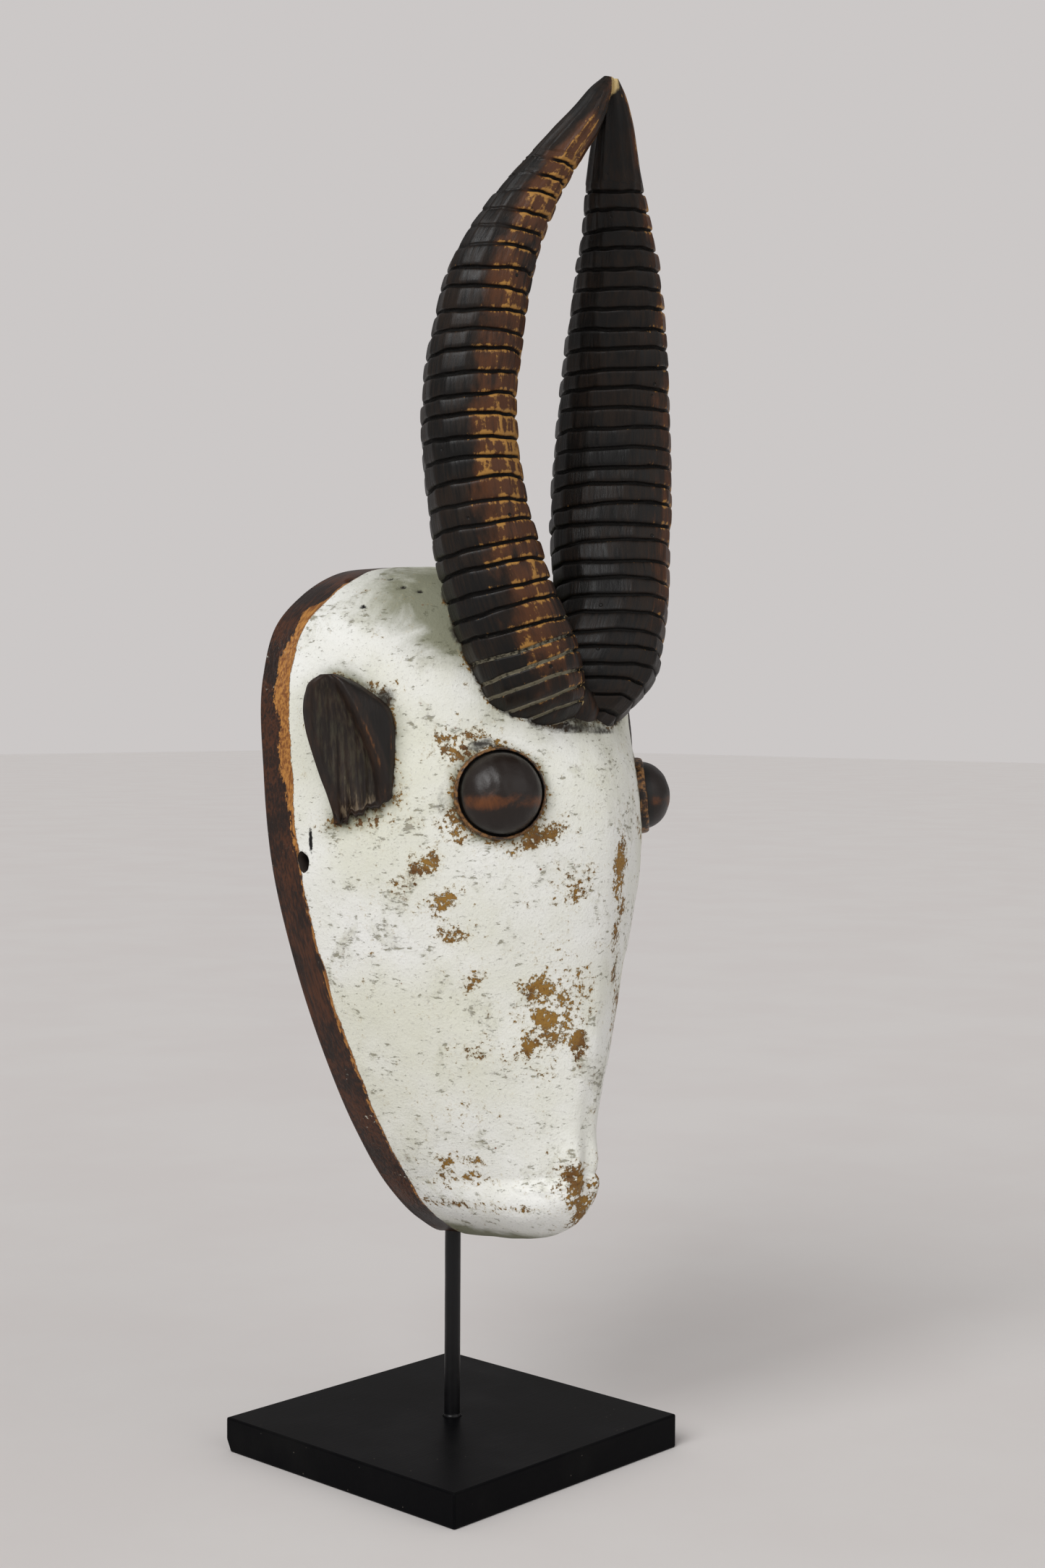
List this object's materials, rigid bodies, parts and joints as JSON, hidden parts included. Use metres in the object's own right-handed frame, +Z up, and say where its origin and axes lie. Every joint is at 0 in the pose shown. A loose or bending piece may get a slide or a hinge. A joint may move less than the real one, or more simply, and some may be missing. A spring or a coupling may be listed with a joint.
{
  "type": "antelope face mask on a stand",
  "caption": "Carved wooden antelope face mask with a hollow back and ringed horns that meet at their tips, held on an upright steel rod set in a square board.",
  "frame": {"origin": "centre of the square board's underside", "axes": "+Z up along the rod; the face looks along -Y; the mask's right side is -X"},
  "size_m": [0.2304, 0.1826, 0.6651],
  "materials": {
    "painted_carved_wood": "matt chalky pigment, dark stained horns, ears and eyes",
    "black_painted_steel": "satin black",
    "black_painted_board": "satin black paint"
  },
  "bodies": {
    "root": {"mask": "painted_carved_wood", "rod": "black_painted_steel", "base": "black_painted_board"}
  },
  "joints": []
}
